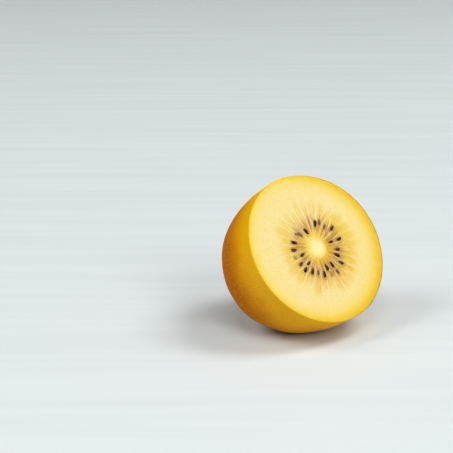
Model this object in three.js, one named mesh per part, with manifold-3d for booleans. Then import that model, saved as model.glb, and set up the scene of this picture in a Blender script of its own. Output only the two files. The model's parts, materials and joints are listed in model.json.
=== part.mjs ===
// Half of a golden kiwi fruit, cut across its middle and resting on its skin.
// Millimetres. +Z is up and +X is the wide way of the cut. The cut looks towards -Y and up.
// The origin is under the middle of the half, on the surface that it rests on.

import * as THREE from "three";
import { mergeVertices } from "three/addons/utils/BufferGeometryUtils.js";
import Module from "manifold-3d";

const wasm = await Module();
wasm.setup();

// Driving dimensions
const CUT_WIDTH = 56.8; // the wide way of the cut, which is level
const CUT_HEIGHT = 51.2; // the narrow way of the cut, up its slope
const DEPTH = 31.5; // from the cut to the stem end
const FULLNESS = 2.8; // exponent of the side's outline: 2 is an ellipse, and more is fuller
const CUT_TILT = THREE.MathUtils.degToRad(34.8); // how far the cut looks up from level
const REST_DEPTH = 1.2; // how much of the skin's curve is pressed flat where the fruit rests

// The fruit isn't truly oval: faint ridges run from end to end.
const RIDGES = [
  { count: 3, share: 0.006, turn: THREE.MathUtils.degToRad(48) },
  { count: 4, share: 0.006, turn: THREE.MathUtils.degToRad(67) },
];

// The stem end: a shallow hollow with a low round scar in it
const HOLLOW_RADIUS = 9.0;
const HOLLOW_DEPTH = 0.9;
const SCAR_RADIUS = 6.0;
const SCAR_HEIGHT = 0.6;

// Facets
const STEPS_ROUND = 72;
const STEPS_HOLLOW = 9;
const STEPS_SIDE = 22;
const STEPS_CUT = 4;

const MEAN_RADIUS = (CUT_WIDTH + CUT_HEIGHT) / 4;
const OVALNESS = (CUT_WIDTH - CUT_HEIGHT) / (CUT_WIDTH + CUT_HEIGHT);

// 1 on the long axis, falling smoothly to 0 at the reach and beyond it
function mound(radius, reach) {
  return 1 - THREE.MathUtils.smoothstep(radius, 0, reach);
}

// How far behind the cut the skin is, at a radius from the long axis
function skinDepth(radius) {
  const share = 1 - Math.pow(radius / MEAN_RADIUS, FULLNESS);
  const side = DEPTH * Math.pow(share, 1 / FULLNESS);
  return side - HOLLOW_DEPTH * mound(radius, HOLLOW_RADIUS) + SCAR_HEIGHT * mound(radius, SCAR_RADIUS);
}

// How much wider than a true round the fruit is, at an angle round its long axis from +X
function girth(angle) {
  const ridges = RIDGES.map(({ count, share, turn }) => share * Math.cos(count * angle - turn));
  return ridges.reduce((sum, ridge) => sum + ridge, 1 + OVALNESS * Math.cos(2 * angle));
}

// The outline from the stem end, out along the skin to the cut's edge, and in along the cut
function outline() {
  const hollowTurn = Math.asin(Math.pow(HOLLOW_RADIUS / MEAN_RADIUS, FULLNESS / 2));
  const radii = [];
  for (let step = 0; step < STEPS_HOLLOW; step++) {
    radii.push((HOLLOW_RADIUS * step) / STEPS_HOLLOW);
  }
  for (let step = 0; step < STEPS_SIDE; step++) {
    const turn = THREE.MathUtils.lerp(hollowTurn, Math.PI / 2, step / STEPS_SIDE);
    radii.push(MEAN_RADIUS * Math.pow(Math.sin(turn), 2 / FULLNESS));
  }
  const skin = radii.map((radius) => new THREE.Vector2(radius, -skinDepth(radius)));
  const cut = [];
  for (let step = 0; step <= STEPS_CUT; step++) {
    cut.push(new THREE.Vector2(MEAN_RADIUS * (1 - step / STEPS_CUT), 0));
  }
  return [...skin, ...cut];
}

// A closed geometry as a solid, without the triangles that shrink to a line on the axis
function solidOf(geometry) {
  const bare = geometry.clone();
  bare.deleteAttribute("normal");
  bare.deleteAttribute("uv");
  const merged = mergeVertices(bare);
  const corners = merged.index.array;
  const triangles = [];
  for (let i = 0; i < corners.length; i += 3) {
    const [a, b, c] = corners.slice(i, i + 3);
    if (a !== b && b !== c && c !== a) {
      triangles.push(a, b, c);
    }
  }
  return new wasm.Manifold(
    new wasm.Mesh({
      numProp: 3,
      vertProperties: new Float32Array(merged.attributes.position.array),
      triVerts: new Uint32Array(triangles),
    }),
  );
}

// A solid as a geometry
function geometryOf(solid) {
  const mesh = solid.getMesh();
  const geometry = new THREE.BufferGeometry();
  geometry.setAttribute("position", new THREE.BufferAttribute(mesh.vertProperties, 3));
  geometry.setIndex(new THREE.BufferAttribute(mesh.triVerts, 1));
  return geometry;
}

// The half fruit, round its long axis along Y, made oval and ridged, then tilted to its place
function kiwiHalfGeometry() {
  const round = new THREE.LatheGeometry(outline(), STEPS_ROUND);
  const places = round.attributes.position;
  for (let i = 0; i < places.count; i++) {
    const grown = girth(Math.atan2(-places.getZ(i), places.getX(i)));
    places.setX(i, places.getX(i) * grown);
    places.setZ(i, places.getZ(i) * grown);
  }
  round.rotateX(Math.PI - CUT_TILT);
  round.computeBoundingBox();
  round.translate(0, 0, -round.boundingBox.min.z - REST_DEPTH);

  // What would reach under the surface is taken off, which leaves the small flat spot.
  const belowSide = 4 * DEPTH;
  const below = new THREE.BoxGeometry(belowSide, belowSide, belowSide);
  below.translate(0, 0, -belowSide / 2);
  const rested = geometryOf(solidOf(round).subtract(solidOf(below)));

  rested.computeBoundingBox();
  const middle = rested.boundingBox.getCenter(new THREE.Vector3());
  rested.translate(-middle.x, -middle.y, 0);
  return rested;
}

const skinAndFlesh = new THREE.MeshStandardMaterial({
  color: new THREE.Color(0xd2962a),
  roughness: 0.5,
  metalness: 0.0,
});

const kiwiHalf = new THREE.Mesh(kiwiHalfGeometry(), skinAndFlesh);
kiwiHalf.name = "kiwi_half";

const part = new THREE.Group();
part.add(kiwiHalf);

export default part;
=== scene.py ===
# %% [markdown]
# # Half a golden kiwi fruit
#
# The fruit was cut across its middle, and the half was laid down so that it leans back on its side.
# Inside is soft yellow flesh: a pale core, a star of narrow seed chambers with cream walls between
# them, and plain outer flesh that turns deeper yellow under the skin. The CAD model holds the size,
# the resting spot and the cut; this lesson makes the finish round that fixed frame.

# %% Load the fixed frame
import json
import math
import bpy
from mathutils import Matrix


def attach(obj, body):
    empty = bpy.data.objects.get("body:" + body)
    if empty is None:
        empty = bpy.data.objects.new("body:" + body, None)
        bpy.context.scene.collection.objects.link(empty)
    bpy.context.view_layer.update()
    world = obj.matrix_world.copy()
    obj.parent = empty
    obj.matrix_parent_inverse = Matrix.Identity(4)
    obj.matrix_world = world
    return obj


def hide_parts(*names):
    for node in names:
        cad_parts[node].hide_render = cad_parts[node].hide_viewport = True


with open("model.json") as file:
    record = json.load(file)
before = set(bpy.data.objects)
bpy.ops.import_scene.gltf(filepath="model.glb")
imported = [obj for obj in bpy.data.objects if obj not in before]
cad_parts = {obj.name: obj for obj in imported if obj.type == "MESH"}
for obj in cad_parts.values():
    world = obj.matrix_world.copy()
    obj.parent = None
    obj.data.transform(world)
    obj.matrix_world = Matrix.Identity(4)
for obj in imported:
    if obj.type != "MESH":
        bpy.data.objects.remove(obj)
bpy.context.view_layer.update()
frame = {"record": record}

from types import SimpleNamespace

import bpy
from mathutils import Color, Matrix, Vector

MM = 0.001

# %% [markdown]
# ## Where the cut lies
#
# Every piece is easiest to make upright: the axis of the fruit along Z and the cut at z = 0, facing
# up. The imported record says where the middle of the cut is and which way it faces, so one turn
# about X and one move lay the finished pieces down where the CAD half lies.

# %% Read the cut's place and lean
cut_mount = next(mount for mount in frame["record"]["mounts"] if mount["name"] == "cut_face")
CUT_CENTRE = Vector(cut_mount["pos_m"])
CUT_NORMAL = Vector(cut_mount["axis"]).normalized()
LAY_DOWN = math.pi / 2 - math.asin(CUT_NORMAL.z)
print("the half leans back", round(math.degrees(LAY_DOWN), 1), "degrees from upright")

# %% [markdown]
# ## Camera
#
# The camera stands low at the left front, so that the cut shows nearly full and the skin curves
# away at the left. A long lens keeps the perspective calm. The place of the cut's middle in the
# picture fixes how far the camera stands to the side.

# %% Place the camera
VIEW_AZIMUTH = math.radians(-42.9)
VIEW_ELEVATION = math.radians(17.0)
VIEW_DISTANCE = 411.0 * MM
LENS_MM = 100.0
SENSOR_MM = 36.0
PICTURE_SIDE_PX = 453
CUT_CENTRE_PX = (318.5, 246.9)


def add_object(name, data):
    """A new object in the scene that shows a mesh, a camera or a lamp."""
    added = bpy.data.objects.new(name, data)
    bpy.context.scene.collection.objects.link(added)
    return added


pixels_per_unit = PICTURE_SIDE_PX * LENS_MM / SENSOR_MM
view_back = Vector((
    math.sin(VIEW_AZIMUTH) * math.cos(VIEW_ELEVATION),
    -math.cos(VIEW_AZIMUTH) * math.cos(VIEW_ELEVATION),
    math.sin(VIEW_ELEVATION),
))
view_right = Vector((math.cos(VIEW_AZIMUTH), math.sin(VIEW_AZIMUTH), 0.0))
view_up = view_back.cross(view_right)
across = (CUT_CENTRE_PX[0] - PICTURE_SIDE_PX / 2) / pixels_per_unit * VIEW_DISTANCE
above = (PICTURE_SIDE_PX / 2 - CUT_CENTRE_PX[1]) / pixels_per_unit * VIEW_DISTANCE

camera_data = bpy.data.cameras.new("camera")
camera_data.lens = LENS_MM
camera_data.sensor_width = SENSOR_MM
camera_data.clip_start = 10 * MM
camera = add_object("camera", camera_data)
camera_turn = Matrix((view_right, view_up, view_back)).transposed()
camera_spot = CUT_CENTRE - across * view_right - above * view_up + VIEW_DISTANCE * view_back
camera.matrix_world = Matrix.Translation(camera_spot) @ camera_turn.to_4x4()
bpy.context.scene.camera = camera
print("camera at, mm:", tuple(round(side / MM, 1) for side in camera_spot))

# %% [markdown]
# ## Formulas made of nodes
#
# The same rules shape the flesh and colour it, so they are written once and built in either kind of
# tree. `Flow` is one number on its way through a tree. Nodes could be joined by hand for every sum,
# but sums on flows read like sums: each adds a Math node, which geometry and material trees both
# have.

# %% A number that flows through a node tree
def plug(tree, socket, value):
    """Joins a flow to a socket, or sets the socket to a plain value."""
    if isinstance(value, Flow):
        tree.links.new(value.socket, socket)
    else:
        socket.default_value = value


class Flow:
    """One output socket of a tree, with the sums that can be done on it."""

    def __init__(self, tree, socket):
        self.tree = tree
        self.socket = socket

    def math(self, operation, *others):
        node = self.tree.nodes.new("ShaderNodeMath")
        node.operation = operation
        for socket, value in zip(node.inputs, (self, *others)):
            plug(self.tree, socket, value)
        return Flow(self.tree, node.outputs[0])

    def __add__(self, other):
        return self.math("ADD", other)

    def __sub__(self, other):
        return self.math("SUBTRACT", other)

    def __mul__(self, other):
        return self.math("MULTIPLY", other)

    def __truediv__(self, other):
        return self.math("DIVIDE", other)

    def less_from(self, whole):
        """whole minus this flow."""
        return self.math("MULTIPLY_ADD", -1.0, whole)

    def fade(self, start, stop):
        """A soft change from 0 at start to 1 at stop; start may be the larger one."""
        node = self.tree.nodes.new("ShaderNodeMapRange")
        node.interpolation_type = "SMOOTHSTEP"
        plug(self.tree, node.inputs["Value"], self)
        plug(self.tree, node.inputs["From Min"], start)
        plug(self.tree, node.inputs["From Max"], stop)
        return Flow(self.tree, node.outputs["Result"])

    def band(self, start, full, waning, stop):
        """0 up to start, 1 from full to waning, and 0 again from stop on."""
        return self.fade(start, full) * self.fade(stop, waning)


print("flows ready, with sums, fades and bands")


# %% Vectors, noise and chance
def join(tree, x, y, z):
    """Three numbers as one vector."""
    node = tree.nodes.new("ShaderNodeCombineXYZ")
    for socket, value in zip(node.inputs, (x, y, z)):
        plug(tree, socket, value)
    return Flow(tree, node.outputs[0])


def split(vector):
    """The three numbers of a vector."""
    node = vector.tree.nodes.new("ShaderNodeSeparateXYZ")
    plug(vector.tree, node.inputs[0], vector)
    return [Flow(vector.tree, socket) for socket in node.outputs]


def length(*sides):
    """How long a line is that has these flows for its sides."""
    total = sides[0] * sides[0]
    for side in sides[1:]:
        total = total + side * side
    return total.math("SQRT")


def towards(x, y, angle_deg):
    """How far a place lies from the axis in the direction of an angle round it."""
    angle = math.radians(angle_deg)
    return x * math.cos(angle) + y * math.sin(angle)


def noise(vector, scale, detail=2.0):
    """Soft noise between 0 and 1, with its middle at 0.5."""
    node = vector.tree.nodes.new("ShaderNodeTexNoise")
    plug(vector.tree, node.inputs["Vector"], vector)
    node.inputs["Scale"].default_value = scale
    node.inputs["Detail"].default_value = detail
    return Flow(vector.tree, node.outputs["Fac"])


def chance(number):
    """A value between 0 and 1 that is always the same for the same number."""
    node = number.tree.nodes.new("ShaderNodeTexWhiteNoise")
    node.noise_dimensions = "1D"
    plug(number.tree, node.inputs["W"], number)
    return Flow(number.tree, node.outputs["Value"])


def vector_math(operation, vector, other=None):
    """A sum of vectors; the operation says whether the answer is a vector or a number."""
    node = vector.tree.nodes.new("ShaderNodeVectorMath")
    node.operation = operation
    plug(vector.tree, node.inputs[0], vector)
    if other is not None:
        plug(vector.tree, node.inputs[1], other)
    return Flow(vector.tree, next(socket for socket in node.outputs if socket.enabled))


print("node helpers ready")

# %% [markdown]
# ## The star in the cut
#
# A kiwi fruit has about thirty seed chambers in a ring. Cut across, they are narrow wedges with
# thin cream walls between them, unevenly spaced, and their tips reach different distances into the
# flesh. The middle of each chamber is a value here and the walls stand halfway between. A float
# curve turns the angle round the core into a chamber number, because plain division would make all
# wedges alike.

# %% Space the seed chambers
CHAMBER_MIDDLES_DEG = [
    3, 15, 27, 42, 57, 70, 84, 98, 112, 123, 134, 146, 159, 172,
    186, 200, 212, 226, 239, 254, 267, 278, 289, 300, 313, 325, 341, 352,
]
CHAMBERS = len(CHAMBER_MIDDLES_DEG)
FULL_TURN = 2 * math.pi

next_middles = CHAMBER_MIDDLES_DEG[1:] + [CHAMBER_MIDDLES_DEG[0] + 360]
walls_deg = [(this + after) / 2 for this, after in zip(CHAMBER_MIDDLES_DEG, next_middles)]
FIRST_WALL_DEG = walls_deg[-1] - 360
print(CHAMBERS, "chambers; first walls at", FIRST_WALL_DEG, walls_deg[0], walls_deg[1], "degrees")


def chamber_number(turn_share):
    """The chamber number, with its fraction, for a share of a full turn from the first wall."""
    node = turn_share.tree.nodes.new("ShaderNodeFloatCurve")
    curve = node.mapping.curves[0]
    curve.points[0].location = (0.0, 0.0)
    curve.points[-1].location = (1.0, 1.0)
    for number, wall in enumerate(walls_deg[:-1], start=1):
        curve.points.new((wall - FIRST_WALL_DEG) / 360, number / CHAMBERS)
    for point in curve.points:
        point.handle_type = "VECTOR"
    node.mapping.update()
    plug(turn_share.tree, node.inputs["Value"], turn_share)
    return Flow(turn_share.tree, node.outputs[0]) * CHAMBERS


# %% [markdown]
# ### One rule for walls, wedges and fibres
#
# The rule takes a place on the cut in millimetres. It gives the distance from the core, how much
# the place belongs to a cream wall or to a chamber, and fine radial fibres. Noise lets the walls
# wander a little, as they do when a fruit grows.

# %% The star rule
WALL_HALF_MM = 0.2
WALL_WANDER = 0.1
CHAMBER_START_MM = 4.2
CHAMBER_REACH_MM = 15.0
REACH_SPREAD_MM = 4.0
TIP_ROUNDING_MM = 3.0
FAINTEST_CHAMBER = 0.65
SECOND_CHANCE = 40.5
FIBRES_PER_RADIAN = 15.0
FIBRE_STRETCH = 0.16
CORE_OFFSET_MM = (-0.6, -0.15)
OFFSET_FADE_MM = (9.0, 3.0)


def star_rule(tree, x, y):
    """Distance from the core, wall, chamber and fibre shares at a place on the cut, in mm."""
    near_core = length(x, y).fade(*OFFSET_FADE_MM)
    x = x - near_core * CORE_OFFSET_MM[0]
    y = y - near_core * CORE_OFFSET_MM[1]
    radius = length(x, y).math("MAXIMUM", 0.01)
    wander = (noise(join(tree, x, y, 0.0), 0.25, 2.0) - 0.5) * WALL_WANDER
    turn = y.math("ARCTAN2", x) + wander
    turn_share = ((turn - math.radians(FIRST_WALL_DEG)) / FULL_TURN).math("FRACT")
    number = chamber_number(turn_share)
    luck = chance(number.math("FLOOR") + 0.5)
    from_middle = (number.math("FRACT") - 0.5).math("ABSOLUTE") * 2.0
    from_wall = from_middle.less_from(1.0) * radius * (math.pi / CHAMBERS)
    reach = luck * REACH_SPREAD_MM + CHAMBER_REACH_MM
    tip = reach - from_middle * from_middle * TIP_ROUNDING_MM
    started = radius.fade(CHAMBER_START_MM, CHAMBER_START_MM + 2.0)
    fullness = chance(number.math("FLOOR") + SECOND_CHANCE) * (1.0 - FAINTEST_CHAMBER)
    fullness = fullness + FAINTEST_CHAMBER
    chamber = (tip - radius).fade(-1.0, 4.0) * from_wall.fade(0.03, WALL_HALF_MM + 0.4) * started
    wall = from_wall.fade(WALL_HALF_MM + 0.25, 0.04) * started * (reach - radius).fade(-1.5, 3.0)
    along = join(
        tree, x / radius * FIBRES_PER_RADIAN, y / radius * FIBRES_PER_RADIAN, radius * FIBRE_STRETCH
    )

    def side(angle_deg, start, stop):
        """A soft share that is 1 on the side of the core that lies at angle_deg."""
        return (towards(x, y, angle_deg) / radius).fade(start, stop)

    return SimpleNamespace(
        radius=radius, wall=wall, chamber=chamber * fullness, side=side,
        fibre=noise(along, 1.0, 3.0), hair=noise(along, 2.3, 2.0), tint=noise(along, 1.6, 3.0),
    )


print("walls about", 2 * WALL_HALF_MM, "mm thick")

# %% [markdown]
# ## The seeds and where they lie
#
# The knife leaves some seeds standing clear in the pulp and others just under it, where they show
# only as soft grey-brown marks. Chance could scatter them, but they sit in their chambers, so each
# row is one seed: its angle round the core, how far from the core it is, its length and width, how
# it leans off the ray and how much pulp still veils it.

# %% List the seeds
CLEAR_SEEDS = [
    # angle deg, from core mm, length mm, width mm, lean deg, veil
    (3, 10.1, 2.3, 1.20, 4, 0.0),
    (4, 6.2, 2.1, 0.95, -8, 0.3),
    (27, 10.3, 2.4, 1.10, 8, 0.1),
    (70, 8.2, 2.6, 1.40, -4, 0.0),
    (112, 6.5, 2.6, 1.35, 8, 0.0),
    (159, 10.0, 2.3, 1.15, -6, 0.1),
    (173, 10.7, 2.5, 1.40, 0, 0.35),
    (187, 8.1, 2.3, 1.10, 12, 0.3),
    (200, 10.8, 2.2, 1.15, 4, 0.4),
    (211, 8.1, 1.9, 1.05, -4, 0.35),
    (212, 11.1, 2.3, 1.20, 6, 0.05),
    (226, 9.9, 2.5, 1.20, 6, 0.15),
    (240, 9.2, 2.2, 1.10, 4, 0.7),
    (255, 9.5, 2.4, 1.10, -6, 0.2),
    (267, 7.2, 2.4, 1.25, 10, 0.0),
    (288, 7.3, 2.3, 1.45, -8, 0.15),
    (290, 10.3, 2.1, 1.10, 6, 0.65),
    (313, 9.8, 2.4, 1.20, 12, 0.35),
    (325, 7.6, 2.5, 1.40, -6, 0.0),
    (341, 8.1, 2.1, 1.05, 4, 0.3),
]
SUNK_SEEDS = [
    (43, 8.7, 2.0, 1.1, 0, 0.7),
    (57, 9.3, 2.1, 1.1, 6, 0.7),
    (134, 7.8, 2.4, 1.1, -8, 0.7),
    (139, 9.0, 1.8, 0.9, 4, 0.8),
    (186, 11.3, 1.8, 0.9, 0, 0.8),
    (274, 9.8, 2.2, 1.1, 0, 0.8),
]
print(len(CLEAR_SEEDS), "clear seeds and", len(SUNK_SEEDS), "under the surface")


def seed_spine(seed):
    """The two ends of a seed's long axis, on the cut, in metres."""
    angle, from_core, long, wide, lean, veil = seed
    middle = Matrix.Rotation(math.radians(angle), 3, "Z") @ Vector((from_core, 0.0, 0.0))
    spine = Matrix.Rotation(math.radians(angle + lean), 3, "Z") @ Vector((1.0, 0.0, 0.0))
    reach = (long - wide) / 2
    return (middle - spine * reach) * MM, (middle + spine * reach) * MM


# %% A helper object with a spine for each seed
def helper_object(name, points, edges=()):
    """A mesh that only other trees read; it is deleted at the end of the lesson."""
    mesh = bpy.data.meshes.new(name)
    mesh.from_pydata(points, edges, [])
    holder = add_object(name, mesh)
    helpers.append(holder)
    return holder


def spines(name, seeds):
    """A helper object with one edge along each seed."""
    ends = [end for seed in seeds for end in seed_spine(seed)]
    return helper_object(name, ends, [(2 * n, 2 * n + 1) for n in range(len(seeds))])


helpers = []
clear_spines = spines("clear_spines", CLEAR_SEEDS)
sunk_spines = spines("sunk_spines", SUNK_SEEDS)
print("spines made for", (len(clear_spines.data.edges), len(sunk_spines.data.edges)), "seeds")

# %% [markdown]
# ## The outline that turns into a fruit
#
# The half is a body of revolution that grew a little uneven. Its side is a full curve, squarer than
# an ellipse, which dips at the stem end round the scar. The points of the curve are spaced evenly,
# and a second curve just inside it gives the skin its thickness.

# %% Work out the side's curve
MEAN_RADIUS = 27.0
DEPTH = 31.5
FULLNESS = 2.8
HOLLOW_RADIUS = 9.0
HOLLOW_DEPTH = 0.9
SCAR_RADIUS = 6.0
SCAR_HEIGHT = 0.6
SKIN_THICKNESS = 0.45
UNDER_SIZE = 0.04
FINE_STEPS = 4000
FINE_SPACING = 0.1


def mound(radius, reach):
    """1 on the axis, softly down to 0 at reach."""
    share = min(max(radius / reach, 0.0), 1.0)
    return 1.0 - share * share * (3.0 - 2.0 * share)


def side_point(turn):
    """A point of the side: turn 0 is the stem end and a quarter turn is the cut."""
    radius = MEAN_RADIUS * math.sin(turn) ** (2 / FULLNESS)
    depth = DEPTH * math.cos(turn) ** (2 / FULLNESS)
    depth += SCAR_HEIGHT * mound(radius, SCAR_RADIUS) - HOLLOW_DEPTH * mound(radius, HOLLOW_RADIUS)
    return Vector((radius, -depth))


def evenly(points, spacing):
    """The same curve with its points a steady distance apart."""
    lengths = [0.0]
    for near, far in zip(points, points[1:]):
        lengths.append(lengths[-1] + (far - near).length)
    steps = max(1, round(lengths[-1] / spacing))
    even = [points[0]]
    span = 0
    for step in range(1, steps):
        goal = lengths[-1] * step / steps
        while lengths[span + 1] < goal:
            span += 1
        share = (goal - lengths[span]) / (lengths[span + 1] - lengths[span])
        even.append(points[span].lerp(points[span + 1], share))
    return even + [points[-1]]


def inside(points, depth):
    """The curve moved inwards by depth; its first point stays on the axis."""
    moved = []
    for number, point in enumerate(points):
        before = points[max(number - 1, 0)]
        after = points[min(number + 1, len(points) - 1)]
        along = (after - before).normalized()
        moved.append(point + Vector((-along.y, along.x)) * depth)
    moved[0].x = 0.0
    moved[-1].y = 0.0
    return moved


true_side = [side_point(math.pi / 2 * step / FINE_STEPS) for step in range(FINE_STEPS + 1)]
true_side[-1].y = 0.0
skin_side = inside(evenly(true_side, FINE_SPACING), UNDER_SIZE)
print("side curve:", round(sum((b - a).length for a, b in zip(true_side, true_side[1:])), 1), "mm")

# %% [markdown]
# ## Growing a body from its outline
#
# A flat grid is rolled up: each column takes one direction round the axis and each row one point of
# the outline. A Screw modifier could turn the outline too, but only into a perfectly round body;
# here the girth is a rule, and every size is a named input. Merging the doubles closes the seam and
# the poles.

# %% Helpers for geometry trees
SOCKET_KINDS = {
    int: "NodeSocketInt",
    float: "NodeSocketFloat",
    bpy.types.Object: "NodeSocketObject",
    bpy.types.Material: "NodeSocketMaterial",
}


def new_tree(name, sizes):
    """An empty geometry tree and a dictionary of its named inputs."""
    tree = bpy.data.node_groups.new(name, "GeometryNodeTree")
    tree.interface.new_socket("Geometry", in_out="OUTPUT", socket_type="NodeSocketGeometry")
    for label, value in sizes.items():
        tree.interface.new_socket(label, in_out="INPUT", socket_type=SOCKET_KINDS[type(value)])
    given = tree.nodes.new("NodeGroupInput")
    return tree, {label: Flow(tree, given.outputs[label]) for label in sizes}


def put(tree, kind, output=None, settings=None, **inputs):
    """Adds a node, sets or joins its inputs, and gives its first output or the one named."""
    node = tree.nodes.new(kind)
    for label, value in (settings or {}).items():
        setattr(node, label, value)
    for label, value in inputs.items():
        socket = next(s for s in node.inputs if s.enabled and s.name == label.replace("_", " "))
        plug(tree, socket, value)
    return Flow(tree, next(s for s in node.outputs if s.enabled and output in (None, s.name)))


def run_tree(name, geometry, given, sizes):
    """Ends a tree, runs it once and keeps the result as a plain mesh object."""
    tree = geometry.tree
    smooth = put(tree, "GeometryNodeSetShadeSmooth", Geometry=geometry)
    real = put(tree, "GeometryNodeRealizeInstances", Geometry=smooth)
    finished = put(tree, "GeometryNodeSetMaterial", Geometry=real, Material=given["Material"])
    output = tree.nodes.new("NodeGroupOutput")
    tree.links.new(finished.socket, output.inputs[0])
    holder = add_object(name + "_holder", bpy.data.meshes.new(name + "_empty"))
    modifier = holder.modifiers.new("shape", "NODES")
    modifier.node_group = tree
    for item in tree.interface.items_tree:
        if item.in_out == "INPUT":
            modifier[item.identifier] = sizes[item.name]
    depsgraph = bpy.context.evaluated_depsgraph_get()
    mesh = bpy.data.meshes.new_from_object(
        holder.evaluated_get(depsgraph), preserve_all_data_layers=True, depsgraph=depsgraph
    )
    holder.modifiers.remove(modifier)
    bpy.data.objects.remove(holder)
    mesh.name = name
    print(name + ":", len(mesh.polygons), "faces")
    return add_object(name, mesh)


# %% Short names for common nodes
def here(tree):
    """The place of the point at hand."""
    return put(tree, "GeometryNodeInputPosition")


def position_mm(tree):
    """The three coordinates of the point at hand, in mm."""
    return [side / MM for side in split(here(tree))]


def named(tree, name):
    """A number that was stored on the points."""
    return put(tree, "GeometryNodeInputNamedAttribute", settings={"data_type": "FLOAT"}, Name=name)


def shape_of(holder):
    """The geometry of an object that is an input of the tree."""
    return put(holder.tree, "GeometryNodeObjectInfo", output="Geometry", Object=holder)


def move(geometry, position):
    """The geometry with each point at a new position."""
    return put(geometry.tree, "GeometryNodeSetPosition", Geometry=geometry, Position=position)


def move_mm(geometry, x, y, z):
    """The geometry with each point at a new position, given in mm."""
    return move(geometry, join(geometry.tree, x * MM, y * MM, z * MM))


def keep(geometry, name, value):
    """Stores a number on every point, for a material to read."""
    return put(
        geometry.tree, "GeometryNodeStoreNamedAttribute",
        settings={"data_type": "FLOAT", "domain": "POINT"},
        Geometry=geometry, Name=name, Value=value,
    )


print("node names ready")

# %% Roll a grid up round the axis
OVALNESS = 0.0519
RIDGES = [(3, 0.006, 48.0), (4, 0.006, 67.0)]
MERGE_DISTANCE = 0.0005
SWELL_SCALE = 0.07
PEEL_SCALE = 1.1


def girth(turn):
    """How much wider than round the fruit is in each direction; turn is a flow in radians."""
    total = (turn * 2.0).math("COSINE") * OVALNESS + 1.0
    for count, share, angle_deg in RIDGES:
        total = total + (turn * count - math.radians(angle_deg)).math("COSINE") * share
    return total


def rolled_sizes(name, outline, columns, **others):
    """The inputs of a rolled body: its outline, rows and columns, and the others by name."""
    points = [(point.x * MM, 0.0, point.y * MM) for point in outline]
    holder = helper_object(name + "_outline", points)
    sizes = {"Outline": holder, "Rows": len(outline), "Columns": columns}
    return sizes | {label.replace("_", " "): value for label, value in others.items()}


def rolled_grid(tree, given):
    """A closed body turned from the outline, upright, with the girth of the fruit."""
    rows, columns = given["Rows"], given["Columns"]
    grid = put(tree, "GeometryNodeMeshGrid", Vertices_X=columns + 1.0, Vertices_Y=rows)
    index = put(tree, "GeometryNodeInputIndex")
    column = (index / rows + 0.0001).math("FLOOR")
    place = put(
        tree, "GeometryNodeSampleIndex", settings={"data_type": "FLOAT_VECTOR"},
        Geometry=shape_of(given["Outline"]), Value=here(tree), Index=index - column * rows,
    )
    sides = split(place)
    turn = column / columns * FULL_TURN
    wide = sides[0] * girth(turn)
    rolled = move(grid, join(tree, wide * turn.math("COSINE"), wide * turn.math("SINE"), sides[2]))
    return put(tree, "GeometryNodeMergeByDistance", Geometry=rolled, Distance=MERGE_DISTANCE * MM)


def grown_uneven(body, swell_depth, peel_depth):
    """Draws the outside in by long soft swellings and a fine peel, away from the cut and the stem."""
    x, y, z = position_mm(body.tree)
    place = join(body.tree, x, y, z)
    swell = noise(place, SWELL_SCALE, 1.0).fade(0.3, 0.7) * swell_depth
    peel = noise(place, PEEL_SCALE, 2.0) * peel_depth
    inwards = (swell + peel) * z.fade(-0.3, -5.0) * length(x, y).fade(5.0, 10.0)
    shrink = (inwards / length(x, y, z).math("MAXIMUM", 1.0)).less_from(1.0)
    return move_mm(body, x * shrink, y * shrink, z * shrink)


print("grid roller ready")

# %% [markdown]
# ## Lying down
#
# The upright body is turned back and moved onto the cut's place. It would sink 1.2 mm through the
# floor, because the resting spot is pressed flat there. Cutting it off would leave a sharp edge, so
# its lowest part is pushed up with a soft maximum, which also rounds the edge of the spot.

# %% Lay a body down and press its resting spot
SPOT_ROUNDING = 0.7


def lay_down(geometry, floor_mm):
    """Turns an upright body onto its side and presses it flat at floor_mm above the floor."""
    laid = put(
        geometry.tree, "GeometryNodeTransform", Geometry=geometry,
        Rotation=(LAY_DOWN, 0.0, 0.0), Translation=CUT_CENTRE,
    )
    x, y, z = position_mm(geometry.tree)
    pressed = (z - floor_mm).math("SMOOTH_MAX", 0.0, SPOT_ROUNDING) + floor_mm
    return move_mm(laid, x, y, pressed)


print("resting spot rounded over", SPOT_ROUNDING, "mm")

# %% [markdown]
# ## Materials: helpers
#
# Every pattern is worked out from Object coordinates. A Mapping node turns them back to the upright
# fruit in millimetres, so the material trees can use the same star rule as the geometry. Colours
# are written as the eye reads them, 0 to 255. No real surface gives back all the light it gets, so
# each is made a fifth darker and the lamps make up for it; less light then bounces between the
# fruit and the floor.

# %% Paint and material helpers
GIVEN_BACK = 0.8


def paint(red, green, blue):
    """A colour as the eye reads it under the lamps, in linear light."""
    linear = Color((red / 255, green / 255, blue / 255)).from_srgb_to_scene_linear()
    return (*(linear * GIVEN_BACK), 1.0)


def new_material(name):
    """A new material and its tree of nodes."""
    material = bpy.data.materials.new(name)
    material.use_nodes = True
    return material, material.node_tree


def upright_mm(tree):
    """Object coordinates turned back to the upright fruit, in mm."""
    coordinates = tree.nodes.new("ShaderNodeTexCoord")
    mapping = tree.nodes.new("ShaderNodeMapping")
    mapping.vector_type = "TEXTURE"
    mapping.inputs["Location"].default_value = CUT_CENTRE
    mapping.inputs["Rotation"].default_value = (LAY_DOWN, 0.0, 0.0)
    mapping.inputs["Scale"].default_value = (MM, MM, MM)
    tree.links.new(coordinates.outputs["Object"], mapping.inputs["Vector"])
    return Flow(tree, mapping.outputs[0])


def blend(share, under, over):
    """One colour laid over another by a share between 0 and 1."""
    node = share.tree.nodes.new("ShaderNodeMix")
    node.data_type = "RGBA"
    for number, value in ((0, share), (6, under), (7, over)):
        plug(share.tree, node.inputs[number], value)
    return Flow(share.tree, node.outputs[2])


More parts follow.
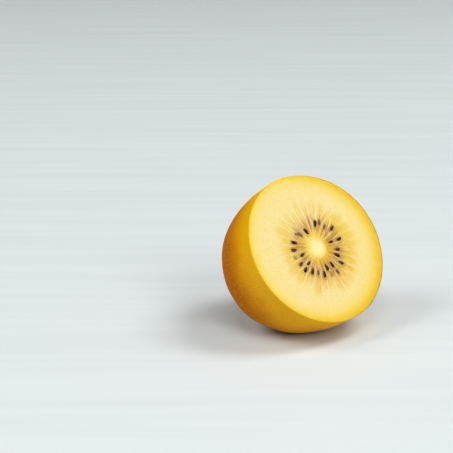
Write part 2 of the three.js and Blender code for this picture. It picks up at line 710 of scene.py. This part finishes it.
def coats(colour, layers):
    """A colour with more laid over it, one after another, each by its own share."""
    for share, over in layers:
        colour = blend(share, colour, over)
    return colour


def tones(value, stops):
    """A colour ramp: stops are (value, colour) and the value is in mm."""
    node = value.tree.nodes.new("ShaderNodeValToRGB")
    first, last = stops[0][0], stops[-1][0]
    elements = node.color_ramp.elements
    node.color_ramp.interpolation = "B_SPLINE"
    for number, (place, colour) in enumerate(stops):
        share = (place - first) / (last - first)
        element = elements[number] if number < 2 else elements.new(share)
        element.position = share
        element.color = colour
    plug(value.tree, node.inputs[0], (value - first) / (last - first))
    return Flow(value.tree, node.outputs[0])


def read(tree, name):
    """A number that the geometry stored on the points."""
    node = tree.nodes.new("ShaderNodeAttribute")
    node.attribute_name = name
    return Flow(tree, node.outputs["Fac"])


def finish(material, colour, roughness, relief=None, relief_mm=0.0, **plain):
    """Joins colour, roughness and fine relief to the shader; the rest are plain values by name."""
    tree = material.node_tree
    shader = tree.nodes["Principled BSDF"]
    plug(tree, shader.inputs["Base Color"], colour)
    plug(tree, shader.inputs["Roughness"], roughness)
    if relief is not None:
        bump = tree.nodes.new("ShaderNodeBump")
        bump.inputs["Strength"].default_value = 1.0
        bump.inputs["Distance"].default_value = relief_mm * MM
        plug(tree, bump.inputs["Height"], relief)
        tree.links.new(bump.outputs[0], shader.inputs["Normal"])
    for label, value in plain.items():
        shader.inputs[label.replace("_", " ")].default_value = value
    print(material.name, "has", len(tree.nodes), "nodes")
    return material


print("cream flesh in linear light:", tuple(round(part, 3) for part in paint(251, 230, 156)))

# %% [markdown]
# ## The flesh's finish
#
# Two colour ramps run outwards from the core, one for walls and plain flesh and one for the
# chambers, and the star rule chooses between them. Then come thin coats, as a painter would lay
# them: fibres, haze, the bed of each seed with painted shade under its edges, grain, and painted
# shade along one side of the rim. The numbers in each fade and band are millimetres from the core
# or from a seed, or heights of a noise. Wet flesh has a soft shine.

# %% Mix the flesh's colours
CORE_CREAM = paint(253, 238, 178)
CORE_EDGE = paint(250, 226, 122)
HALO_GOLD = paint(248, 216, 100)
HALO_DEEP = paint(224, 162, 22)
INNER_WALL = paint(240, 201, 96)
WALL_CREAM = paint(248, 212, 142)
OUTER_WALL = paint(254, 229, 164)
FLESH_CREAM = paint(251, 230, 162)
NEAR_SKIN = paint(249, 220, 108)
UNDER_SKIN = paint(247, 206, 52)
RIM_GOLD = paint(240, 188, 8)
RIM_PAINTED_SHADE = paint(196, 160, 40)
INNER_GOLD = paint(236, 193, 66)
PULP_MAUVE = paint(210, 164, 92)
PULP_GOLD = paint(238, 198, 92)
CHAMBER_GOLD = paint(240, 198, 60)
CHAMBER_TIP = paint(248, 213, 88)
CHAMBER_LEMON = paint(242, 216, 98)
SEED_PULP_AND_SHADE = paint(150, 104, 62)
SEED_SLEEVE = paint(242, 206, 152)
SUNK_SEED = paint(104, 62, 28)
FLESH_GRAIN = paint(243, 214, 132)
FIBRE_SHADE = paint(132, 80, 24)
FIBRE_GOLD = paint(222, 170, 52)
FIBRE_LIGHT = paint(255, 232, 178)
FIBRE_ROSE = paint(248, 208, 160)
FIBRE_YELLOW = paint(236, 190, 30)
PULP_HAZE = paint(186, 142, 108)
print("deepest flesh colour in linear light:", tuple(round(part, 3) for part in SUNK_SEED))


# %% Make the flesh material
def flesh_material():
    """Plain flesh and chambers by the star rule, then fibres, seed beds, grain and the rim."""
    material, tree = new_material("golden_flesh")
    place = upright_mm(tree)
    x, y, z = split(place)
    star = star_rule(tree, x, y)
    radius, fibre = star.radius, star.fibre
    golden_side = star.side(-20, 0.1, 0.9)
    pale_side = star.side(97, 0.35, 0.95)
    clean_side = star.side(145, 0.1, 0.9)
    sunny_side = star.side(25, 0.5, 1.0)
    rosy_side = star.side(250, 0.0, 0.7)
    rimward = radius / girth(y.math("ARCTAN2", x))

    uneven = (noise(join(tree, x, y, 0.0), 0.35, 2.0) - 0.5) * 1.6
    streaky = (fibre - 0.5) * radius.band(1.6, 3.0, 5.5, 8.0) * 3.4
    wide_band = (star.side(-15, -1.0, 1.0) - 0.6) * radius.fade(16.0, 24.0) * 3.4
    plain = tones(rimward + uneven + wide_band + streaky, [
        (0.0, CORE_CREAM), (1.8, CORE_CREAM), (3.0, CORE_EDGE), (4.2, HALO_GOLD), (6.2, INNER_WALL),
        (9.0, WALL_CREAM), (12.5, OUTER_WALL), (20.5, FLESH_CREAM), (23.6, NEAR_SKIN),
        (25.4, UNDER_SKIN), (27.0, RIM_GOLD), (28.4, RIM_GOLD),
    ])
    plain = coats(plain, [
        (golden_side * radius.band(8.0, 11.0, 13.0, 18.0) * 0.6, CHAMBER_GOLD),
        (star.side(180, 0.6, 1.0) * radius.band(9.5, 11.5, 13.5, 18.5) * 0.5, PULP_GOLD),
        (star.side(-22, 0.5, 1.0) * radius.band(13.0, 15.5, 20.0, 23.0) * 0.3, NEAR_SKIN),
    ])
    inner = tones(radius + uneven + streaky, [
        (3.6, HALO_GOLD), (5.4, INNER_GOLD), (7.4, PULP_MAUVE), (9.6, PULP_MAUVE), (11.2, PULP_GOLD),
        (13.0, CHAMBER_GOLD), (15.5, CHAMBER_GOLD), (19.0, CHAMBER_TIP),
    ])
    in_chamber = star.chamber * (pale_side * radius.fade(8.5, 11.0) * -0.75 + 1.0)

    halo = radius.band(3.0, 4.4, 5.0, 7.5) * star.side(-50, -0.3, 0.9)
    in_star = radius.band(3.4, 5.0, 10.0, 17.0)
    by_seeds = radius.band(4.2, 6.2, 8.4, 12.4) * (clean_side * -0.45 + 1.0)
    streak = star.hair.fade(0.5, 0.38) * radius.band(6.5, 8.5, 12.0, 17.0)
    yellow = star.tint.fade(0.5, 0.62) * radius.band(3.2, 4.4, 13.0, 18.0)
    haze = star.tint.fade(0.5, 0.38) * radius.band(5.5, 7.0, 10.5, 12.5)
    lemon = (clean_side + sunny_side * 0.5) * star.chamber * radius.fade(9.5, 11.5)
    gold = in_star * (clean_side * -0.4 + 0.75) + 0.03
    from_seed = read(tree, "from_seed")
    # darker pulp round each seed: partly its own colour, partly painted shade under the seed's edges
    pulp_and_shade_near_seed = from_seed.fade(1.7, 0.8) * (star.wall * -0.8 + 1.0)
    sleeve = from_seed.band(0.5, 0.68, 0.78, 1.05) * noise(place, 0.5, 1.0).fade(0.4, 0.65)
    sunk = read(tree, "from_sunk").fade(0.95, 0.1) * fibre.fade(0.2, 0.5)
    cloud = noise(place, 0.22, 3.0).fade(0.35, 0.75) * radius.fade(12.0, 18.0)
    speck = noise(place, 1.5, 3.0).fade(0.42, 0.68) * radius.fade(11.0, 16.0)
    colour = coats(blend(in_chamber, plain, inner), [
        (halo * 0.7, HALO_DEEP),
        (fibre.fade(0.46, 0.3) * in_star * 0.5, FIBRE_LIGHT),
        (streak * (rosy_side * 0.6 + 0.15), FIBRE_ROSE),
        (yellow * (pale_side * -0.6 + 0.75), FIBRE_YELLOW),
        (haze * 0.4, PULP_HAZE),
        (lemon * 0.65, CHAMBER_LEMON),
        (fibre.fade(0.5, 0.62) * gold, FIBRE_GOLD),
        (star.hair.fade(0.52, 0.64) * by_seeds * 0.5, FIBRE_SHADE),
        # darker pulp and painted shade round each seed
        (pulp_and_shade_near_seed * 0.42, SEED_PULP_AND_SHADE),
        (sleeve * 0.45, SEED_SLEEVE),
        (sunk * 0.9, SUNK_SEED),
        (fibre.fade(0.52, 0.66) * by_seeds * 0.45, FIBRE_SHADE),
        (cloud * 0.25, NEAR_SKIN),
        (speck * rimward.fade(25.5, 22.0) * 0.55, FLESH_GRAIN),
        # painted shade: a darker olive line along one side of the flesh's rim
        (rimward.fade(26.0, 26.7) * star.side(-25, 0.3, 0.9) * 0.5, RIM_PAINTED_SHADE),
    ])
    return finish(
        material, colour, star.chamber * -0.2 + noise(place, 1.4, 3.0) * 0.2 + 0.4,
        relief=noise(place, 2.6, 4.0) * 0.6 + fibre * in_star * 0.4, relief_mm=0.18,
        Specular_IOR_Level=0.18, Subsurface_Weight=0.12,
        Subsurface_Radius=(1.0, 0.6, 0.15), Subsurface_Scale=2.0 * MM,
    )


golden_flesh = flesh_material()

# %% [markdown]
# ## The flesh
#
# The flesh is one closed body: the cut face, a softly rounded rim and a wall that lies against the
# inside of the skin. The core stands a little proud, the chambers sink where the pulp is softer,
# and the pulp swells up round each seed. It could be sculpted, but the rule that colours the star
# also shapes it, so relief and colour match. Rows are close together in the star and wide apart on
# the hidden wall.

# %% Draw the flesh's outline
FLESH_INSET = 0.22
RIM_ROUNDING = 0.12
STAR_ROW_STEP = 0.28
STAR_ROWS = 68
PLAIN_ROWS = 14
HIDDEN_STEP = 1.6


def flesh_outline():
    """Stem end, up the wall, over the rounded rim, then across the face to its middle."""
    wall = inside(evenly(skin_side, FINE_SPACING), FLESH_INSET)[::-1]
    edge = wall[0].x - RIM_ROUNDING
    star_rows = [Vector((STAR_ROW_STEP * step, 0.0)) for step in range(STAR_ROWS)]
    last = star_rows[-1]
    plain_rows = [
        last.lerp(Vector((edge, 0.0)), step / PLAIN_ROWS) for step in range(1, PLAIN_ROWS + 1)
    ]
    corner = [
        Vector((edge + RIM_ROUNDING * math.sin(turn), RIM_ROUNDING * (math.cos(turn) - 1)))
        for turn in (math.pi / 8, math.pi / 4, math.pi * 3 / 8)
    ]
    below = [point for point in wall if point.y < -RIM_ROUNDING]
    outline = star_rows + plain_rows + corner + evenly(below, HIDDEN_STEP)
    return outline[::-1]


def distance_from(spine_object):
    """How far the point at hand is from the nearest seed spine, in mm."""
    near = put(
        spine_object.tree, "GeometryNodeProximity", output="Distance",
        settings={"target_element": "EDGES"}, Geometry=shape_of(spine_object),
    )
    return near / MM


flesh_points = flesh_outline()
print("flesh outline:", len(flesh_points), "points")

# %% Shape the flesh
FLESH_COLUMNS = 720
SWELL_DEPTH = 0.26

flesh_sizes = rolled_sizes(
    "flesh", flesh_points, FLESH_COLUMNS, Clear_seeds=clear_spines, Sunk_seeds=sunk_spines,
    Core_rise=0.1, Chamber_sink=0.26, Seed_swell=0.16, Fibre_relief=0.07,
    Swell_depth=SWELL_DEPTH, Floor=SKIN_THICKNESS, Material=golden_flesh,
)
tree, given = new_tree("flesh_shape", flesh_sizes)
body = rolled_grid(tree, given)
body = keep(body, "from_seed", distance_from(given["Clear seeds"]))
body = keep(body, "from_sunk", distance_from(given["Sunk seeds"]))
from_seed = named(tree, "from_seed")
from_sunk = named(tree, "from_sunk")
x, y, z = position_mm(tree)
star = star_rule(tree, x, y)
radius = star.radius
relief = radius.fade(4.6, 2.2) * given["Core rise"]
relief = relief - star.chamber * radius.fade(17.0, 10.0) * given["Chamber sink"]
relief = relief + from_seed.fade(1.5, 0.6) * given["Seed swell"] * from_seed.fade(0.25, 0.6)
relief = relief + from_sunk.fade(1.2, 0.2) * given["Seed swell"] * 0.4
fibre_share = radius.fade(2.6, 5.0) * (radius.fade(18.0, 12.0) * 0.94 + 0.06)
relief = relief + (star.fibre - 0.5) * fibre_share * given["Fibre relief"]
waves = (noise(join(tree, x, y, 0.0), 0.12, 2.0) - 0.6) * radius.fade(26.0, 20.0) * 0.25
body = move_mm(body, x, y, z + (relief + waves) * z.fade(-0.12, -0.02))
body = grown_uneven(body, given["Swell depth"], 0.0)
flesh = run_tree("flesh", lay_down(body, given["Floor"]), given, flesh_sizes)

# %% [markdown]
# ## The skin's finish
#
# Just behind the cut the skin is painted a clear glowing gold, for the light that comes through the
# flesh there. Further back it is honey gold with soft clouds and fine flecks. One side is painted a
# darker brown as shade, and the lower side is painted paler, as light bounced up from the floor.
# The scar and the pores start from the same tones.

# %% Make the skin material
SKIN_EDGE = paint(250, 202, 40)
SKIN_EDGE_SHADE = paint(144, 102, 12)
SKIN_GLOW = paint(255, 194, 0)
SKIN_GOLD = paint(255, 176, 0)
SKIN_HONEY = paint(242, 152, 0)
SKIN_BACK = paint(226, 143, 6)
SKIN_PAINTED_SHADE = paint(198, 104, 0)
SKIN_PAINTED_BOUNCE = paint(250, 180, 44)
STEM_TAN = paint(222, 148, 52)
SKIN_CLOUD = paint(186, 104, 0)
SKIN_PALE = paint(246, 184, 22)
SIDE_SHADE_DEG = 155.0
BOUNCE_SIDE_DEG = 235.0


def skin_tones(place):
    """The skin's colour without its pores, from the cut back to the stem, with painted light and
    shade.
    """
    x, y, z = split(place)
    behind = z * -1.0
    from_axis = length(x, y).math("MAXIMUM", 0.01)
    uneven = (noise(place, 0.09, 2.0) - 0.5) * 6.0
    depth = behind + uneven * behind.fade(1.0, 6.0)
    # painted light: the clear gold just behind the cut stands for light that comes through the flesh
    colour = tones(depth, [
        (0.0, SKIN_GLOW), (2.4, SKIN_GLOW), (5.0, SKIN_GOLD), (11.0, SKIN_HONEY),
        (20.0, SKIN_BACK), (32.0, SKIN_BACK),
    ])
    toward_bounce = towards(x, y, BOUNCE_SIDE_DEG) / from_axis
    toward_side_shade = towards(x, y, SIDE_SHADE_DEG) / from_axis
    # painted light: the lower side is paler, as if lit by light bounced up from the floor
    painted_bounce = toward_bounce.fade(0.1, 0.9) * behind.fade(22.0, 10.0)
    # painted shade: one side of the skin turns darker brown away from the cut
    painted_side_shade = toward_side_shade.fade(-0.1, 0.95) * depth.fade(4.0, 17.0)
    cloud = noise(place, 0.16, 4.0)
    fleck = noise(place, 2.2, 4.0)
    return coats(colour, [
        # painted bounce light on the lower side
        (painted_bounce * 0.7, SKIN_PAINTED_BOUNCE),
        # painted shade on one side
        (painted_side_shade * behind.fade(32.0, 20.0), SKIN_PAINTED_SHADE),
        (cloud.fade(0.5, 0.8) * behind.fade(3.0, 9.0) * 0.3, SKIN_CLOUD),
        (cloud.fade(0.45, 0.2) * behind.fade(3.0, 9.0) * 0.25, SKIN_PALE),
        (from_axis.fade(11.0, 4.5) * behind.fade(22.0, 28.0) * 0.7, STEM_TAN),
        (fleck.fade(0.5, 0.66) * 0.35, SKIN_PALE),
        (fleck.fade(0.46, 0.3) * 0.35, SKIN_CLOUD),
    ])


def skin_material():
    """The skin's tones, with a thin line where the knife went through, painted darker on one side as
    shade.
    """
    material, tree = new_material("golden_skin")
    place = upright_mm(tree)
    x, y, z = split(place)
    # painted shade: the knife's edge line darkens towards one side, broken by noise
    edge_shade_breaks = noise(place, 0.45, 3.0).fade(0.35, 0.6) * 0.6 + 0.4
    edge = blend((x / MEAN_RADIUS).fade(-0.2, 0.7) * edge_shade_breaks, SKIN_EDGE, SKIN_EDGE_SHADE)
    return finish(
        material, blend((z * -1.0).fade(0.34, 0.16), skin_tones(place), edge),
        noise(place, 0.9, 3.0) * 0.2 + 0.4, relief=noise(place, 1.7, 4.0), relief_mm=0.16,
        Specular_IOR_Level=0.008, Subsurface_Weight=0.06,
        Subsurface_Radius=(1.0, 0.5, 0.1), Subsurface_Scale=1.5 * MM,
    )


golden_skin = skin_material()

# %% [markdown]
# ## The skin
#
# The skin is a real shell, a little under half a millimetre thick, with a rounded edge where the
# knife went through. Solidify could thicken a sheet, but an outline that turns over at the cut and
# comes back down the inside gives that edge for nothing. Long soft swellings keep it from looking
# turned on a lathe. They only go inwards, so the fruit keeps the CAD model's size.

# %% Shape the skin
SKIN_COLUMNS = 480
SKIN_ROW_STEP = 0.36
EDGE_DROP = 0.03


def skin_outline():
    """Stem end, outside, rounded edge, inside, stem end."""
    half = SKIN_THICKNESS / 2
    top = -EDGE_DROP - half
    outer = [point for point in skin_side if point.y < top]
    inner = [point for point in inside(skin_side, SKIN_THICKNESS) if point.y < top][::-1]
    middle = Vector(((outer[-1].x + inner[0].x) / 2, top))
    turn_over = [
        middle + Vector((math.cos(turn), math.sin(turn))) * half
        for turn in (math.pi * step / 6 for step in range(1, 6))
    ]
    return evenly(outer, SKIN_ROW_STEP) + turn_over + evenly(inner, HIDDEN_STEP)


skin_sizes = rolled_sizes(
    "skin", skin_outline(), SKIN_COLUMNS,
    Swell_depth=SWELL_DEPTH, Peel_depth=0.05, Material=golden_skin,
)
tree, given = new_tree("skin_shape", skin_sizes)
body = rolled_grid(tree, given)
body = grown_uneven(body, given["Swell depth"], given["Peel depth"])
skin = run_tree("skin", lay_down(body, 0.0), given, skin_sizes)

# %% [markdown]
# ## The seeds' finish and shape
#
# A kiwi seed is a small flattened drop with its point towards the core, nearly black, with a hard
# shine. Where pulp still veils a seed it looks grey-brown. Geometry Nodes stand one seed shape on
# every point of a list, because only size, lean and veil differ.

# %% Make the seed material
SEED_BLACK = paint(60, 18, 0)
SEED_BROWN = paint(124, 64, 6)
PULP_VEIL = paint(160, 110, 48)


def seed_material():
    """Black with brown clouds; pulp hides more of it where the seed is veiled."""
    material, tree = new_material("black_seed")
    place = upright_mm(tree)
    colour = blend(noise(place, 1.3, 3.0).fade(0.45, 0.75), SEED_BLACK, SEED_BROWN)
    veil = read(tree, "veil")
    hidden = (noise(place, 1.0, 2.0) + veil - 0.5).fade(0.1, 0.7) * veil
    return finish(
        material, blend(hidden, colour, PULP_VEIL), noise(place, 2.0, 2.0) * 0.1 + 0.12,
        relief=noise(place, 6.0, 2.0), relief_mm=0.05, Specular_IOR_Level=0.12,
    )


black_seed = seed_material()

# %% List the seeds' places and sizes
def seed_points(seeds):
    """One point for each seed, which carries its sizes."""
    middles = [tuple((a + b) / 2) for a, b in (seed_spine(seed) for seed in seeds)]
    holder = helper_object("seed_points", middles)
    columns = {
        "turn": [math.radians(seed[0] + seed[4]) for seed in seeds],
        "long": [seed[2] for seed in seeds],
        "wide": [seed[3] for seed in seeds],
        "veil": [seed[5] for seed in seeds],
    }
    for name, values in columns.items():
        holder.data.attributes.new(name, "FLOAT", "POINT").data.foreach_set("value", values)
    return holder


seed_sizes = {
    "Seed points": seed_points(CLEAR_SEEDS), "Thickness": 0.9, "Seat": 0.16, "Material": black_seed,
}
print(len(seed_sizes["Seed points"].data.vertices), "seeds to stand in their beds")

# %% Stand the seeds in their beds
tree, given = new_tree("seed_shape", seed_sizes)
ball = put(tree, "GeometryNodeMeshUVSphere", Segments=20, Rings=14, Radius=0.5)
across_x, across_y, along = split(here(tree))
taper = along.fade(-0.75, 0.35) * 0.75 + 0.25
dents = (noise(here(tree), 3.0, 1.0) - 0.5) * 0.35 + 1.0
drop = move(ball, join(tree, along * dents, across_x * taper * dents, across_y * taper * dents))
seat = position_mm(tree)
height = given["Seat"] - named(tree, "veil") * 0.5
points = move_mm(shape_of(given["Seed points"]), seat[0], seat[1], height)
turned = put(tree, "FunctionNodeEulerToRotation", Euler=join(tree, 0.0, 0.0, named(tree, "turn")))
sizes = join(tree, named(tree, "long") * MM, named(tree, "wide") * MM, given["Thickness"] * MM)
standing = put(
    tree, "GeometryNodeInstanceOnPoints", Points=points, Instance=drop, Rotation=turned, Scale=sizes
)
real = put(tree, "GeometryNodeRealizeInstances", Geometry=standing)
seeds = run_tree("seeds", lay_down(real, 0.0), given, seed_sizes)

# %% [markdown]
# ## Breathing pores
#
# The skin is covered with low pale pores, half a millimetre across. A bump could only hint at them,
# so each is a flattened ball of twenty faces set halfway into the skin. They are scattered over the
# finished skin with a least distance between them.

# %% Make the pore material
PORE_PALE = paint(248, 206, 96)


def pore_material():
    """The skin's tones, painted light and shade included, a little paler."""
    material, tree = new_material("skin_pore")
    place = upright_mm(tree)
    pale = noise(place, 1.1, 1.0).fade(0.3, 0.7) * 0.3 + 0.15
    colour = blend(pale, skin_tones(place), PORE_PALE)
    return finish(material, colour, noise(place, 0.9, 1.0) * 0.2 + 0.4, Specular_IOR_Level=0.05)


skin_pore = pore_material()

# %% Scatter the pores
PORES_PER_SQUARE_METRE = 8.0e6
SCATTER_SEED = 7
SIZE_SEED = 11
BELOW_CUT = 0.9
ABOVE_FLOOR = 0.5

pore_sizes = {
    "Skin": skin, "Gap": 0.95 * MM, "Width": 0.46 * MM, "Height": 0.11 * MM, "Sink": 0.03 * MM,
    "Material": skin_pore,
}
tree, given = new_tree("pore_scatter", pore_sizes)
place = here(tree)
height = split(place)[2]
normal = put(tree, "GeometryNodeInputNormal")
above_cut = vector_math("DOT_PRODUCT", vector_math("SUBTRACT", place, CUT_CENTRE), CUT_NORMAL)
stem_end = CUT_CENTRE - CUT_NORMAL * (DEPTH * MM)
fruit_middle = CUT_CENTRE - CUT_NORMAL * (DEPTH * MM / 3)
from_stem = vector_math("LENGTH", vector_math("SUBTRACT", place, stem_end)) / MM
outwards = vector_math("DOT_PRODUCT", vector_math("SUBTRACT", place, fruit_middle), normal)
bare = above_cut.math("LESS_THAN", -BELOW_CUT * MM)
bare = bare * from_stem.math("GREATER_THAN", SCAR_RADIUS + 0.3)
bare = bare * outwards.math("GREATER_THAN", 0.0) * height.math("GREATER_THAN", ABOVE_FLOOR * MM)
scattered = put(
    tree, "GeometryNodeDistributePointsOnFaces", settings={"distribute_method": "POISSON"},
    Mesh=shape_of(given["Skin"]), Selection=bare, Distance_Min=given["Gap"],
    Density_Max=PORES_PER_SQUARE_METRE, Seed=SCATTER_SEED,
)
upright = Flow(tree, scattered.socket.node.outputs["Rotation"])
outward = Flow(tree, scattered.socket.node.outputs["Normal"])
sink = given["Sink"] * -1.0
inward = vector_math("MULTIPLY", outward, join(tree, sink, sink, sink))
scattered = put(tree, "GeometryNodeSetPosition", Geometry=scattered, Offset=inward)
ball = put(tree, "GeometryNodeMeshIcoSphere", Radius=0.5, Subdivisions=1)
random_size = put(tree, "FunctionNodeRandomValue", Min=0.55, Max=1.25, Seed=SIZE_SEED)
wide = given["Width"] * random_size
wide = wide * (above_cut / MM).fade(-1.0, -12.0).math("MAXIMUM", 0.5)
standing = put(
    tree, "GeometryNodeInstanceOnPoints", Points=scattered, Instance=ball,
    Rotation=upright, Scale=join(tree, wide, wide, given["Height"] * random_size),
)
skin_pores = run_tree("skin_pores", standing, given, pore_sizes)

# %% [markdown]
# ## The stem scar
#
# Where the fruit hung on its stalk there is a dry corky ring, a good centimetre across, with uneven
# ridges round a broken stub. It faces away from the cut and down, but it is finished like the rest.
# It is turned from an outline as the skin is, and its ridges are a ring rule bent by noise.

# %% Make the scar material
SCAR_CREASE_SHADE = paint(138, 72, 18)
SCAR_RIDGE_HIGHLIGHT = paint(236, 152, 52)
SCAR_RUST = paint(208, 116, 26)


def scar_material():
    """Rust and tan on the ridges and brown in the creases, partly the cork's own tones and partly
    painted highlight and shade, fading into the skin's tones.
    """
    material, tree = new_material("corky_scar")
    place = upright_mm(tree)
    speck = noise(place, 2.4, 4.0)
    x, y, z = split(place)
    ragged = (noise(place, 0.7, 2.0) - 0.5) * 2.0
    # brown creases and tan ridges: partly the cork's own tones, partly painted shade in the creases
    # and painted highlight on the ridges
    colour = coats(SCAR_CREASE_SHADE, [
        (read(tree, "ridge").fade(0.1, 0.7), SCAR_RIDGE_HIGHLIGHT),
        (speck.fade(0.45, 0.7) * 0.55, SCAR_RUST),
        ((length(x, y) + ragged).fade(4.9, 5.9), skin_tones(place)),
    ])
    return finish(
        material, colour, speck * 0.2 + 0.62,
        relief=noise(place, 4.0, 4.0), relief_mm=0.15, Specular_IOR_Level=0.08,
    )


corky_scar = scar_material()

# %% Draw the scar's outline
SCAR_WIDTH_RADIUS = 5.9
SCAR_SHOULDER = 4.4
SCAR_PROUD = 0.12
SCAR_ROOT = 0.5


def scar_outline():
    """The top from the axis outwards, down into the skin, and back to the axis underneath."""
    top = [point for point in skin_side if point.x < SCAR_WIDTH_RADIUS]
    reach = SCAR_WIDTH_RADIUS - SCAR_SHOULDER
    raised = [
        point - Vector((0.0, SCAR_PROUD * mound(max(point.x - SCAR_SHOULDER, 0.0), reach)))
        for point in top
    ]
    root = [point + Vector((0.0, SCAR_ROOT)) for point in top][::-1]
    return evenly(raised, 0.12) + evenly(root, 0.8)


scar_points = scar_outline()
print("scar outline:", len(scar_points), "points")

# %% Shape the scar
SCAR_COLUMNS = 168
RING_WARP = 8.0
STUB_RADIUS = 1.5

scar_sizes = rolled_sizes(
    "scar", scar_points, SCAR_COLUMNS, Ring_step=1.35, Ridge_height=0.55, Lip_height=0.3,
    Stub_radius=STUB_RADIUS, Stub_height=0.55, Material=corky_scar,
)
tree, given = new_tree("scar_shape", scar_sizes)
body = rolled_grid(tree, given)
x, y, z = position_mm(tree)
radius = length(x, y)
flat = join(tree, x, y, 0.0)
warp = (noise(flat, 0.3, 2.0) - 0.5) * RING_WARP
swirl = y.math("ARCTAN2", x)
off_centre = x * 0.22 - y * 0.14
rings = ((radius + off_centre) / given["Ring step"] * FULL_TURN + warp + swirl).math("SINE")
rings = (rings * 0.5 + 0.5).fade(0.15, 0.7)
ridge = rings * noise(flat, 0.5, 2.0).fade(0.3, 0.6) + (noise(flat, 2.4, 3.0) - 0.5) * 0.35
ridge = ridge.math("MAXIMUM", 0.0) * radius.fade(5.4, 4.2)
uneven_rim = (noise(flat, 0.35, 2.0) - 0.5) * 1.6 + radius
lip = uneven_rim.band(4.2, 4.8, 4.9, 5.6)
stub = radius.fade(given["Stub radius"], given["Stub radius"] * 0.6) * radius.fade(0.3, 0.9)
stub_top = stub * (noise(flat, 1.6, 3.0) * 0.6 + 0.7)
body = keep(body, "ridge", ridge * radius.fade(0.4, 1.2) + stub_top * 0.4 + lip * 0.8)
rise = ridge * given["Ridge height"] + stub_top * given["Stub height"]
rise = rise + lip * given["Lip height"]
root_level = -(DEPTH + SCAR_HEIGHT - HOLLOW_DEPTH - SCAR_ROOT / 2)
on_top = (z + radius * radius * 0.012).math("LESS_THAN", root_level)
body = move_mm(body, x, y, z - rise * on_top)
stem_scar = run_tree("stem_scar", lay_down(body, 0.0), given, scar_sizes)

# %% [markdown]
# ## Floor and light
#
# The fruit stands on a plain pale floor whose far rim sweeps up, so that there is no sharp horizon.
# Soft square lamps do the rest: one above the camera and one to its right light the cut, one at the
# left lights the skin, and a strong one high at the far right brightens the floor and throws a
# short shadow to the left. A faint pale sky fills what they leave dark.

# %% Lay the floor
FLOOR_RADIUS = 2.2
SWEEP_RADIUS = 1.2
SWEEP_STEPS = 10
FLOOR_SIDES = 96
FLOOR_COOL = paint(233, 240, 242)
FLOOR_PALE = paint(237, 244, 245)


def floor_material():
    """Two near whites in long soft streaks across the view."""
    material, tree = new_material("pale_floor")
    coordinates = tree.nodes.new("ShaderNodeTexCoord")
    x, y, z = split(Flow(tree, coordinates.outputs["Object"]))
    beside = x * view_right.x + y * view_right.y
    beyond = y * view_right.x - x * view_right.y
    grain = noise(join(tree, beside * 3.0, beyond * 60.0, z), 2.0, 3.0)
    return finish(material, blend(grain.fade(0.35, 0.65), FLOOR_COOL, FLOOR_PALE), 0.6)


floor_points = []
floor_faces = [list(range(FLOOR_SIDES))]
for step in range(SWEEP_STEPS + 1):
    sweep = math.pi / 2 * step / SWEEP_STEPS
    wide = FLOOR_RADIUS + SWEEP_RADIUS * math.sin(sweep)
    height = SWEEP_RADIUS * (1 - math.cos(sweep))
    outer = FLOOR_SIDES * step
    inner = outer - FLOOR_SIDES
    for side in range(FLOOR_SIDES):
        turn = FULL_TURN * side / FLOOR_SIDES
        floor_points.append((wide * math.cos(turn), wide * math.sin(turn), height))
        after = (side + 1) % FLOOR_SIDES
        if step > 0:
            floor_faces.append((outer + side, outer + after, inner + after, inner + side))
floor_mesh = bpy.data.meshes.new("floor")
floor_mesh.from_pydata(floor_points, [], floor_faces)
floor_mesh.shade_smooth()
floor_mesh.materials.append(floor_material())
floor = add_object("floor", floor_mesh)
print("floor", 2 * FLOOR_RADIUS, "m across, with a rim that sweeps up", SWEEP_RADIUS, "m")

# %% Hang the lamps
SKY_COLOUR = (0.96, 1.0, 0.94, 1.0)
SKY_STRENGTH = 0.12
FRUIT_HEART = Vector((0.0, 0.0, 0.024))
LAMP_DISTANCE = 2.4
LAMP_SIZE = 1.0


def lamp(name, turn_deg, height_deg, power):
    """A soft square lamp: turn_deg round to the right of the camera, height_deg above the floor."""
    turn = VIEW_AZIMUTH + math.radians(turn_deg)
    height = math.radians(height_deg)
    aside = Vector((
        math.sin(turn) * math.cos(height), -math.cos(turn) * math.cos(height), math.sin(height)
    ))
    data = bpy.data.lights.new(name, "AREA")
    data.shape = "SQUARE"
    data.size = LAMP_SIZE
    data.energy = power
    holder = add_object(name, data)
    holder.location = FRUIT_HEART + aside * LAMP_DISTANCE
    holder.rotation_mode = "QUATERNION"
    holder.rotation_quaternion = aside.to_track_quat("Z", "Y")


lamp("key_lamp", -5, 58, 13.0)
lamp("right_lamp", 32, 35, 23.0)
lamp("left_lamp", -75, 42, 22.5)
lamp("high_lamp", 88, 58, 30.5)
sky = bpy.data.worlds.new("pale_sky")
sky.use_nodes = True
background = sky.node_tree.nodes["Background"]
background.inputs["Color"].default_value = SKY_COLOUR
background.inputs["Strength"].default_value = SKY_STRENGTH
bpy.context.scene.world = sky
bpy.context.scene.view_settings.view_transform = "Standard"
print("lamps hung")

# %% [markdown]
# ## Joining the frame
#
# Every piece rides on the one CAD body. The flesh and the skin together stand for the CAD half,
# which stays in the physics model. The helper objects are deleted.

# %% Ride, replace and finish
for helper in helpers:
    bpy.data.objects.remove(helper)

for piece, slot in (
    (flesh, "flesh"), (skin, "skin"), (seeds, "seed"), (skin_pores, "skin"), (stem_scar, "scar"),
):
    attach(piece, "root")
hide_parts("kiwi_half")
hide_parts("kiwi_half")
